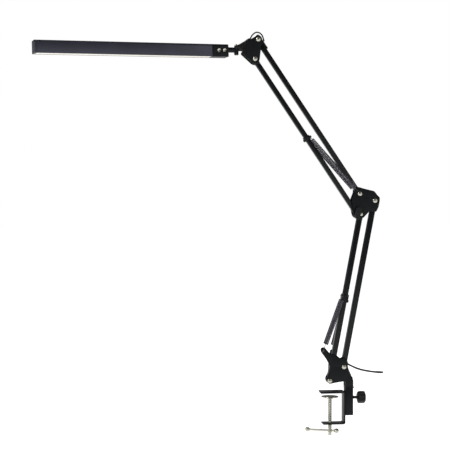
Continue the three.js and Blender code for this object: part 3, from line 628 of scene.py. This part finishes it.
class LAMP_OT_cord(Operator):
    """Lay the power cord, its coil, tie, gland and plug"""
    bl_idname = "lamp.cord"
    bl_label = "Power cord"

    def execute(self, context):
        sizes = context.scene.lamp_sizes
        diameter = sizes.cord_diameter
        coil = coil_points(diameter / MM)
        route = [Vector(p) for p in CORD_ROUTE]
        tail = cord_tail(coil[-1])
        path = smooth_path([p * MM for p in [*route, *coil, *tail]], 0.0025)
        build = bmesh.new()
        add_tube(build, path, diameter / 2, 10)
        cord = to_object("power_cord_run", build, FINISHES["cable"])
        length = sum((b - a).length for a, b in zip(path, path[1:]))
        plug = self.plug(tail[-1])
        tie = soften("cord_tie", FINISHES["rubber"], "rubber", 0.5)
        stand_in(cord, "cable", "power_cord", "cord_coil")
        self.gland()
        return {"FINISHED"}

    def plug(self, end):
        """A small moulded plug with a ribbed grip."""
        build = bmesh.new()
        place = Matrix.Translation(end * MM)
        profile = [(0, 3), (2.4, 3)]
        for k in range(4):
            profile += [(2.7 + 0.3 * k, -0.6 - 2.4 * k), (3.1 + 0.3 * k, -1.2 - 2.4 * k),
                        (3.1 + 0.3 * k, -2.2 - 2.4 * k), (2.7 + 0.3 * k, -2.6 - 2.4 * k)]
        profile += [(4, -10.5), (0, -10.5)]
        add_turned(build, [(r * MM, h * MM) for r, h in profile], place, 24)
        spare = bmesh.new()
        for (wide, deep), (top, bottom) in (((16, 8), (-10, -19.5)), ((12, 4.5), (-19, -25))):
            made = bmesh.ops.create_cube(spare, size=1)["verts"]
            turn = Matrix.Rotation(math.radians(-13), 4, "Z")
            size = Matrix.Diagonal((deep * MM, wide * MM, (top - bottom) * MM, 1))
            shift = Matrix.Translation((end + Vector((0, 0, (top + bottom) / 2))) * MM)
            bmesh.ops.transform(spare, matrix=shift @ turn @ size, verts=made)
        bmesh.ops.bevel(spare, geom=spare.edges, offset=0.0011, segments=3, profile=0.5, affect="EDGES")
        mesh = bpy.data.meshes.new("spare")
        spare.to_mesh(mesh)
        spare.free()
        build.from_mesh(mesh)
        bpy.data.meshes.remove(mesh)
        return stand_in(to_object("plug_body", build, FINISHES["black_plastic"]), "black_plastic", "cord_plug")

    def gland(self):
        """The gland's block and its tapered, ribbed strain relief."""
        turn = Matrix.Rotation(math.radians(90 + 25.5), 4, "Y")
        place = Matrix.Translation(Vector((18, 15.5, 68.4)) * MM) @ turn
        profile = [(0, -4), (3.9, -4), (4, -3.6), (4, 3)]
        for k in range(6):
            radius = 3.7 - 0.16 * k
            start = 3.4 + 2.7 * k
            profile += [(radius, start), (radius, start + 1.5), (radius - 0.7, start + 1.8),
                        (radius - 0.7, start + 2.6)]
        profile += [(2.5, 20), (0, 20)]
        build = bmesh.new()
        add_turned(build, [(r * MM, h * MM) for r, h in profile], place, 24)
        spare = bmesh.new()
        bmesh.ops.create_cube(spare, size=1)
        size = Matrix.Diagonal((10 * MM, 9.9 * MM, 9 * MM, 1))
        shift = Matrix.Translation(Vector((0, -1.45, -0.5)) * MM)
        bmesh.ops.transform(spare, matrix=place @ shift @ size, verts=spare.verts)
        bmesh.ops.bevel(spare, geom=spare.edges, offset=0.0009, segments=3, profile=0.5, affect="EDGES")
        mesh = bpy.data.meshes.new("spare")
        spare.to_mesh(mesh)
        spare.free()
        build.from_mesh(mesh)
        bpy.data.meshes.remove(mesh)
        stand_in(to_object("gland_body", build, FINISHES["black_plastic"]), "black_plastic", "cable_gland")


# ---- Clamp ----
class LAMP_OT_clamp(Operator):
    """Finish the desk clamp, its threaded screw, foot, handle and lock knob"""
    bl_idname = "lamp.clamp"
    bl_label = "Clamp"

    def execute(self, context):
        sizes = context.scene.lamp_sizes
        steel = FINISHES["steel"]
        for node in ("clamp_frame", "post_socket", "base_neck"):
            soften(node, FINISHES["black_steel"], "black_steel", 0.5)
        soften("jaw_pad", FINISHES["rubber"], "rubber", 0.3)
        self.screw(sizes.thread_pitch, steel)

        top = -7.0
        foot = [(0, top - 3.2), (4.4, top - 3.2), (4.6, top - 3.4), (4.6, top - 5.4), (4.8, top - 5.6), (6.6, top - 5.6),
                (7, top - 5.3), (8.6, top - 3.6), (10.4, top - 2.4), (13, top - 1.9), (17.4, top - 1.5),
                (17.9, top - 1.1), (18, top - 0.6), (17.8, top - 0.15), (17.3, top), (0, top)]
        stand_in(turned_object("foot_disc", foot, Matrix.Identity(4), steel, 72), "steel", "swivel_foot")
        self.handle()
        self.knob()
        return {"FINISHED"}

    def screw(self, pitch, steel):
        """The screw's core with a wound thread, and its cross hole's rims."""
        low, high = -86.5, -14.0
        core = bmesh.new()
        body = [(0, -88), (3.0, -88), (3.7, -87.3), (3.7, -82.5), (3.62, -82), (3.62, -74.5), (3.5, -74), (3.5, -13),
                (3.0, -10.5), (0, -10.5)]
        add_turned(core, [(r * MM, h * MM) for r, h in body], Matrix.Identity(4), 32)
        for side in (1, -1):
            turn = Matrix.Rotation(HANDLE_TURN, 4, "Z") @ Matrix.Rotation(math.radians(90) * side, 4, "Y")
            rim = [(0, 3.2), (3.0, 3.2), (3.0, 3.9), (2.7, 4.1), (2.5, 4.1), (2.5, 3.3), (0, 3.3)]
            add_turned(core, [(r * MM, h * MM) for r, h in rim], Matrix.Translation((0, 0, -78.3 * MM)) @ turn, 20)
        turns = (high + 73 - 0.0) / (pitch / MM)
        values = {"Turns": turns, "Radius": 0.00352, "Height": turns * pitch, "Wire Radius": 0.00048,
                  "Steps": 20, "Wire Sides": 6, "Material": steel}
        thread = NODE_TREES["coil"].run("threaded_screw", point_mesh("start", [(0, 0, 0)]), values,
                                        Matrix.Translation((0, 0, -73 * MM)), core)
        stand_in(thread, "steel", "clamp_screw")

    def handle(self):
        """The sliding bar with a ball pressed on each end."""
        build = bmesh.new()
        turn = Matrix.Translation((0, 0, -78.3 * MM)) @ Matrix.Rotation(HANDLE_TURN, 4, "Z")
        along = turn @ Matrix.Rotation(math.radians(90), 4, "Y")
        add_turned(build, [(r * MM, h * MM) for r, h in ((0, -47), (2.2, -47), (2.2, 13.5), (0, 13.5))], along, 24)
        for end, facing in ((-47.5, -1), (14, 1)):
            ball = []
            for k in range(17):
                angle = math.pi * k / 16
                ball.append((5 * math.sin(angle) if 0 < k < 16 else 0, end - 5 * math.cos(angle)))
            add_turned(build, [(r * MM, h * MM) for r, h in ball], along, 32)
            collar = end - facing * 4.6
            ends = sorted((collar, collar - facing * 1.4))
            ring = [(0, ends[0]), (2.9, ends[0]), (3.1, (ends[0] + ends[1]) / 2), (2.9, ends[1]), (0, ends[1])]
            add_turned(build, [(r * MM, h * MM) for r, h in ring], along, 24)
        stand_in(to_object("handle_bar", build, FINISHES["handle"]), "steel", "tommy_bar")

    def knob(self):
        """The lock knob: a lobed grip with a domed cap, on its stud."""
        build = bmesh.new()
        place = Matrix.Translation((0, 0, -10 * MM)) @ Matrix.Rotation(math.radians(90), 4, "Y")
        levels = [(9.6, 58.5), (10.9, 59.1), (11.7, 60.2), (12.0, 62), (12.0, 71), (11.7, 72.8), (10.9, 73.8),
                  (9.4, 74.4), (6, 74.6)]
        sides = 96
        rings = []
        for radius, height in levels:
            ring = []
            for k in range(sides):
                angle = 2 * math.pi * k / sides
                lobe = 0.72 * math.cos(6 * angle) * min(1.0, (radius / 12) ** 3)
                size = (radius + lobe) * MM
                ring.append(build.verts.new(place @ Vector((size * math.cos(angle), size * math.sin(angle),
                                                            height * MM))))
            rings.append(ring)
        for lower, upper in zip(rings, rings[1:]):
            for k in range(sides):
                build.faces.new([lower[k], lower[(k + 1) % sides], upper[(k + 1) % sides], upper[k]])
        build.faces.new(list(reversed(rings[0])))
        build.faces.new(rings[-1])
        stud = [(0, 45.1), (2.4, 45.1), (3, 45.7)]
        for k in range(9):
            stud += [(3.0, 46.2 + 1.25 * k), (2.65, 46.8 + 1.25 * k)]
        stud += [(3.0, 57.6), (3.0, 58.2), (5.2, 58.2), (5.2, 59.5), (0, 59.5)]
        add_turned(build, [(r * MM, h * MM) for r, h in stud], place, 24)
        stand_in(to_object("lock_knob_grip", build, FINISHES["black_plastic"]), "black_plastic", "lock_knob")


# ---- Arm ----
class LAMP_OT_arm(Operator):
    """Finish the arm's tubes, end pieces, spring clips and bracket plates"""
    bl_idname = "lamp.arm"
    bl_label = "Arm"

    def execute(self, context):
        for arm in ("lower_right", "lower_left", "upper_right", "upper_left"):
            finish_name = "lower_tube" if arm.startswith("lower") else "upper_tube"
            soften(arm + "_tube", FINISHES[finish_name], "black_tube", 0.25)
            for end in ("_foot_end", "_top_end"):
                soften(arm + end, FINISHES["black_plastic"], "black_plastic", 0.4)
        for node in ("lower_spring_clip", "upper_spring_clip"):
            soften(node, FINISHES["black_steel"], "black_steel", 0.35)
        for bracket in ("base", "elbow", "head"):
            for side in ("_plate_front", "_plate_rear"):
                soften(bracket + side, FINISHES["black_steel"], "black_steel", 0.45, 3)
        soften("elbow_knob", FINISHES["black_plastic"], "black_plastic", 0.9, 3)
        return {"FINISHED"}


class LAMP_OT_bolts(Operator):
    """Set the domed bolts, washers and nuts at the arm's pivots"""
    bl_idname = "lamp.bolts"
    bl_label = "Bolts"

    def execute(self, context):
        self.bolt_set("base_bolts", ["base_bolt_right", "base_bolt_left"], 8.8, 5.2, 2.7)
        self.bolt_set("elbow_bolts", ["elbow_bolt_lower_right", "elbow_bolt_upper_right"], 8.8, 5.2, 2.7)
        self.bolt_set("elbow_bolt_behind_knob", ["elbow_bolt_lower_left"], 8.8, 4.2, 2.7)
        self.bolt_set("elbow_knob_bolt", ["elbow_bolt_upper_left"], 8.8, 2.5, 9.0)
        self.bolt_set("head_bolts", ["head_bolt_upper", "head_bolt_lower"], 10.4, 5.2, 2.7)
        return {"FINISHED"}

    def bolt_set(self, name, nodes, face, head, rise):
        """One template on every pivot of a body: a dome in front, a shank, and a nut on the far side."""
        low, high = -face - rise, face + 3.4
        dome = [(0, low), (head * 0.30, low + rise * 0.03), (head * 0.55, low + rise * 0.14),
                (head * 0.76, low + rise * 0.32), (head * 0.92, low + rise * 0.62), (head, -face - 0.25),
                (head, -face), (2.5, -face)]
        if head <= 2.5:
            dome = [(0, low), (2.1, low), (2.5, low + 0.5), (2.5, -face)]
        nut = [(2.5, face), (4.1, face), (4.1, face + 0.7), (3.7, face + 0.9), (3.75, face + 2.6),
               (3.3, face + 3.0), (2.4, face + 3.0), (2.2, high), (0, high)]
        turn = Matrix.Rotation(math.radians(-90), 4, "X")
        template = turned_object(name + "_template", [*dome, *nut], turn, FINISHES["steel"], 32)
        places = [Vector((middle(node).x, 0, middle(node).z)) for node in nodes]
        values = {"Template": template, "Material": FINISHES["steel"]}
        made = NODE_TREES["repeat"].run(name, point_mesh(name + "_places", places), values)
        bpy.data.objects.remove(template)
        stand_in(made, "steel", *nodes)


class LAMP_OT_springs(Operator):
    """Wind the four tension springs, each in four pieces"""
    bl_idname = "lamp.springs"
    bl_label = "Springs"

    def execute(self, context):
        sizes = context.scene.lamp_sizes
        lower = ("base_bracket", "lower_left", "lower_left_tilt", sizes.lower_coil, 13 * MM, 8 * MM, math.radians(-26))
        upper = ("elbow", "upper_left", "upper_left_tilt", sizes.upper_coil, 7 * MM, 7 * MM, math.radians(-34))
        for name, details in (("lower", lower), ("upper", upper)):
            for side in ("front", "rear"):
                self.spring(f"{name}_spring_{side}", *details, sizes.spring_wire)
        return {"FINISHED"}

    def spring(self, node, fixed, moving, joint, radius, coil_start, coil_end, fold, wire):
        """A coil between two wire eyes, from the fixed stud to the clip's pin, cut across into four pieces."""
        low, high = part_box(node)
        eye = 0.0037
        shift = Vector((0, (low.y + high.y) / 2, 0))
        starts, ends = (low.x + eye, high.x - eye)
        if node.startswith("upper"):
            starts, ends = ends, starts
        anchor = Vector((starts, 0, low.z + eye))
        pin = Vector((ends, 0, high.z - eye))
        hook_ring = 0.0044 if node == "lower_spring_front" else 0.0029
        along = pin - anchor
        length = along.length
        turn = along.to_track_quat("Z", "Y").to_matrix().to_4x4()
        place = Matrix.Translation(anchor + shift) @ turn
        parts = 4
        coil_length = length - coil_start - coil_end
        turns = round(coil_length / (wire * 2.2) / parts)
        pieces = []
        for part in range(parts):
            start = coil_start + coil_length * part / parts
            extra = bmesh.new()
            if part == 0:
                self.hook(extra, place, 0, start, radius - wire, wire, hook_ring)
            if part == parts - 1:
                self.hook(extra, place, length, length - coil_end, radius - wire, wire, 0.0029)
            values = {"Turns": float(turns), "Radius": radius - wire, "Height": coil_length / parts,
                      "Wire Radius": wire, "Steps": 14, "Wire Sides": 6, "Material": FINISHES["spring"]}
            made = NODE_TREES["coil"].run(f"{node}_{part + 1}", point_mesh("start", [(0, 0, 0)]), values,
                                          place @ Matrix.Translation((0, 0, start)), extra)
            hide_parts(node)
            pieces.append((made, start if part else 0.0, start + coil_length / parts if part < parts - 1 else length))
        centre = pivot(joint)
        for made, begin, end in pieces:
            first = unsmooth(straight_share(anchor, pin, centre, begin / length, fold))
            last = unsmooth(straight_share(anchor, pin, centre, end / length, fold))
            scale = (end - begin) / (last - first)
            zero = begin - first * scale
            axis = along.normalized()
            tuple(anchor + axis * zero)
            tuple(anchor + axis * (zero + scale))
            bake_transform(made)

    def hook(self, build, place, eye_at, coil_at, radius, wire, ring):
        """The end wire: it leaves the coil's edge, runs to the axis and closes in a round eye."""
        sign = 1 if coil_at > eye_at else -1
        points = [Vector((radius, 0, coil_at)), Vector((radius * 0.5, 0, coil_at - sign * wire * 2.4)),
                  Vector((0, 0, coil_at - sign * 0.003)), Vector((0, 0, eye_at + sign * (ring + 0.001)))]
        for k in range(15):
            angle = math.radians(90 + 345 * k / 14)
            points.append(Vector((ring * math.cos(angle), 0, eye_at + sign * ring * math.sin(angle))))
        add_tube(build, [place @ p for p in smooth_path(points, 0.0012)], wire, 8)


def straight_share(anchor, pin, centre, share, fold):
    """How much of a fold a spring's point takes so that it stays on the line from the anchor to the moved pin."""
    def swung(point, angle):
        return centre + Matrix.Rotation(angle, 3, "Y") @ (point - centre)

    if share <= 0 or share >= 1:
        return min(1.0, max(0.0, share))
    line = swung(pin, fold) - anchor
    point = anchor.lerp(pin, share)
    low, high = 0.0, 1.0
    side_at_end = (swung(point, fold) - anchor).cross(line).y
    for _ in range(30):
        half = (low + high) / 2
        if (swung(point, fold * half) - anchor).cross(line).y * side_at_end > 0:
            high = half
        else:
            low = half
    return (low + high) / 2


def unsmooth(value):
    """The place between 0 and 1 where the smooth step has a value."""
    low, high = 0.0, 1.0
    for _ in range(40):
        half = (low + high) / 2
        if half * half * (3 - 2 * half) < value:
            low = half
        else:
            high = half
    return (low + high) / 2


# ---- Head joint and lamp head ----
class LAMP_OT_joint(Operator):
    """Finish the head joint: the ribbed barrel, hinge screw, neck and cable loop"""
    bl_idname = "lamp.joint"
    bl_label = "Head joint"

    def execute(self, context):
        for node in ("swivel_block", "neck_stud"):
            soften(node, FINISHES["black_steel"], "black_steel", 0.3)
        soften("swivel_barrel", FINISHES["black_plastic"], "black_plastic", 0.22)
        soften("hinge_screw", FINISHES["steel"], "steel", 0.2)
        loop = [(-166, 726.5), (-166.6, 732), (-162.4, 739.3), (-155.3, 744.4), (-148, 743.4), (-142.4, 738),
                (-138.5, 726.6)]
        path = smooth_path([Vector((x, 0, z)) * MM for x, z in loop], 0.0012)
        build = bmesh.new()
        add_tube(build, path, 0.0014, 12)
        made = to_object("cable_loop", build, FINISHES["cable"])
        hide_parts("head_cable")
        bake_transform(made)
        return {"FINISHED"}


class LAMP_OT_head(Operator):
    """Finish the lamp head: caps, housing, diffuser, light board and buttons"""
    bl_idname = "lamp.head"
    bl_label = "Lamp head"

    def execute(self, context):
        soften("head_housing", FINISHES["anodised"], "anodised", 0.5, 3)
        soften("switch_cap", FINISHES["black_steel"], "black_plastic", 0.7, 3)
        soften("outer_end_cap", FINISHES["anodised"], "black_plastic", 1.4, 4)
        soften("diffuser", FINISHES["diffuser"], "diffuser", 0.3)
        self.board(context.scene.lamp_sizes.light_chips)
        for node in ("power_button", "colour_button"):
            self.button(node)
        return {"FINISHED"}

    def board(self, count):
        """The light board with a row of chips on its underside."""
        soften("led_board", FINISHES["board"], "board", 0.2)
        corners = [frame["nodes"]["led_board"].matrix_world @ v.co for v in frame["nodes"]["led_board"].data.vertices]
        turn = HEAD_TURN.to_matrix()
        own = [turn.transposed() @ corner for corner in corners]
        low = Vector(map(min, zip(*own)))
        high = Vector(map(max, zip(*own)))
        chip = bmesh.new()
        bmesh.ops.create_cube(chip, size=1, matrix=Matrix.Diagonal((0.0035, 0.0028, 0.0007, 1)))
        bmesh.ops.bevel(chip, geom=chip.edges, offset=0.0002, segments=1, profile=0.5, affect="EDGES")
        template = to_object("chip_template", chip, FINISHES["lens"])
        spread = (high.x - low.x - 0.012) / (count - 1)
        places = [
            turn @ Vector((low.x + 0.006 + spread * i, (low.y + high.y) / 2, low.z - 0.0003)) for i in range(count)
        ]
        values = {"Template": template, "Turn": tuple(HEAD_TURN), "Material": FINISHES["lens"]}
        made = NODE_TREES["repeat"].run("light_chips", point_mesh("chip_places", places), values)
        bpy.data.objects.remove(template)
        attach(made, "lamp_head")

    def button(self, node):
        """A plated button with a dished face and a rounded rim."""
        turn = HEAD_TURN.to_matrix().to_4x4() @ Matrix.Rotation(math.radians(-90), 4, "X")
        centre = middle(node)
        place = Matrix.Translation(centre) @ turn
        half = 4.3
        profile = [(0, -half), (3.6, -half), (3.7, -half + 0.1), (3.7, half - 0.7), (3.55, half - 0.3),
                   (3.2, half), (2.8, half - 0.05), (2.2, half - 0.45), (1.2, half - 0.7), (0, half - 0.75)]
        stand_in(turned_object(node + "_cap", profile, place, FINISHES["steel"], 40), "steel", node)


class LAMP_PT_panel(Panel):
    """The lamp's pieces and settings"""
    bl_label = "Desk lamp"
    bl_idname = "LAMP_PT_panel"
    bl_space_type = "VIEW_3D"
    bl_region_type = "UI"
    bl_category = "Desk lamp"

    def draw(self, context):
        layout = self.layout
        for settings in (context.scene.lamp_sizes, context.scene.lamp_colours):
            for name in settings.__annotations__:
                layout.prop(settings, name)
        for operator in STEPS:
            layout.operator(operator.bl_idname)


STEPS = (LAMP_OT_stage, LAMP_OT_cord, LAMP_OT_clamp, LAMP_OT_arm, LAMP_OT_bolts, LAMP_OT_springs, LAMP_OT_joint,
         LAMP_OT_head)
CLASSES = (LampSizes, LampColours, *STEPS, LAMP_PT_panel)
FINISHES = {}
NODE_TREES = {}


def register():
    for cls in CLASSES:
        bpy.utils.register_class(cls)
    bpy.types.Scene.lamp_sizes = PointerProperty(type=LampSizes)
    bpy.types.Scene.lamp_colours = PointerProperty(type=LampColours)


def unregister():
    del bpy.types.Scene.lamp_colours
    del bpy.types.Scene.lamp_sizes
    for cls in reversed(CLASSES):
        bpy.utils.unregister_class(cls)


def main():
    register()
    FINISHES.update(make_finishes())
    NODE_TREES.update(coil=coil_nodes(), repeat=repeat_nodes())
    bpy.ops.lamp.stage()
    bpy.ops.lamp.cord()
    bpy.ops.lamp.clamp()
    bpy.ops.lamp.arm()
    bpy.ops.lamp.bolts()
    bpy.ops.lamp.springs()
    bpy.ops.lamp.joint()
    bpy.ops.lamp.head()


if __name__ == "__main__":
    main()
